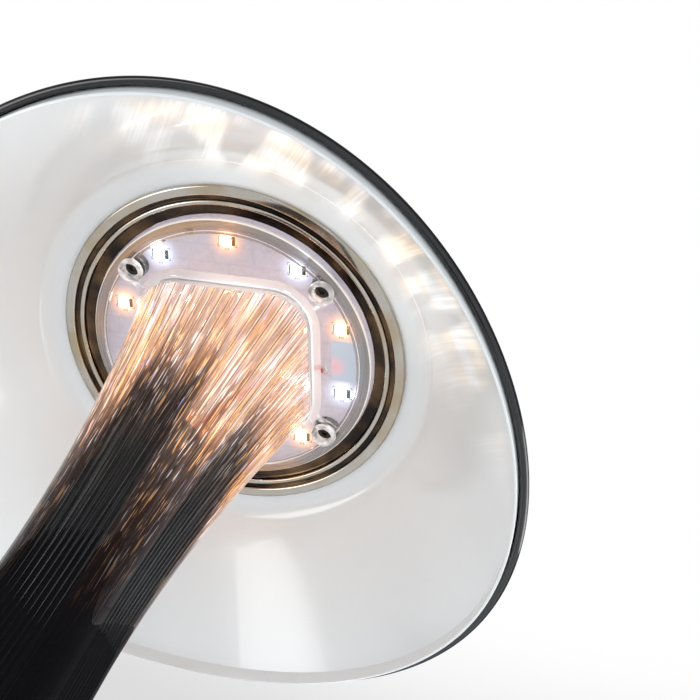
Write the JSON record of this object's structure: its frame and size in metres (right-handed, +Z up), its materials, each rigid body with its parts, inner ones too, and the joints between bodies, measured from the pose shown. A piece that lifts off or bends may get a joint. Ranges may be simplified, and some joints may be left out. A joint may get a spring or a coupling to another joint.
{
  "type": "cordless reading lamp",
  "caption": "Cordless reading lamp: black dish shade with a waved rim and white inside, fluted clear-to-smoke stem, ring of LEDs, push button and round foot.",
  "frame": {"origin": "middle of the footprint on the table, at the underside of the rubber ring", "axes": "+Z up along the stem; +Y to the back, where the charging socket is; +X to the right, where the rim is low"},
  "size_m": [0.2148, 0.2148, 0.3887],
  "materials": {
    "gloss_black": "high gloss black lacquer",
    "satin_black": "satin black powder coat",
    "gloss_white": "gloss white enamel",
    "polished": "polished, smoky nickel tone",
    "clear_smoke": "clear acrylic, amber at the head and smoke below",
    "cast_plate": "die cast",
    "board_white": "white solder mask",
    "warm_lamp": "clear resin over warm phosphor, lit",
    "cool_lamp": "clear resin over cool phosphor, lit",
    "pale_patch": "matt film",
    "pad_grey": "matt silicone",
    "board_green": "green solder mask",
    "gold_pin": "gilt",
    "switch_black": "moulded",
    "screw_black": "black oxide",
    "tube_black": "moulded black",
    "support_white": "moulded",
    "cell_sleeve": "shrink sleeve; solid at the mean density of a cell",
    "nickel": "nickel strip",
    "wire_red": "insulated",
    "wire_black": "insulated",
    "steel_weight": "zinc plated",
    "foot_rubber": "matt",
    "socket_steel": "drawn steel",
    "tongue_black": "moulded",
    "light_pipe": "clear"
  },
  "bodies": {
    "lamp": {"shade_shell": "gloss_black", "button_ring": "gloss_black", "base_housing": "satin_black", "shade_reflector": "gloss_white", "bezel_ring": "polished", "fluted_stem": "clear_smoke", "head_core": "cast_plate", "led_board": "board_white", "warm_leds": "warm_lamp", "cool_leds": "cool_lamp", "board_patch": "pale_patch", "thermal_pad": "pad_grey", "control_board": "board_green", "cell_board": "board_green", "contact_board": "board_green", "charge_board": "board_green", "board_pins": "gold_pin", "tact_switch": "switch_black", "flange_screws": "screw_black", "stem_screws": "screw_black", "cover_screws": "screw_black", "battery_tube": "tube_black", "tube_cap": "tube_black", "base_cover": "tube_black", "cell_support": "support_white", "lower_cell": "cell_sleeve", "upper_cell": "cell_sleeve", "link_plate": "nickel", "return_strip": "nickel", "red_wire": "wire_red", "charge_lead_red": "wire_red", "black_wire": "wire_black", "charge_lead_black": "wire_black", "base_weight": "steel_weight", "foot_ring": "foot_rubber", "usb_socket": "socket_steel", "usb_tongue": "tongue_black", "charge_light": "light_pipe"},
    "button": {"button_cap": "polished", "switch_plunger": "switch_black"}
  },
  "joints": [
    {"name": "button_press", "type": "slide", "parent": "lamp", "child": "button", "axis": [0, 0, -1], "range_m": [0, 0.0006], "stiffness_N_per_m": 2500, "springref_m": -0.0004}
  ]
}
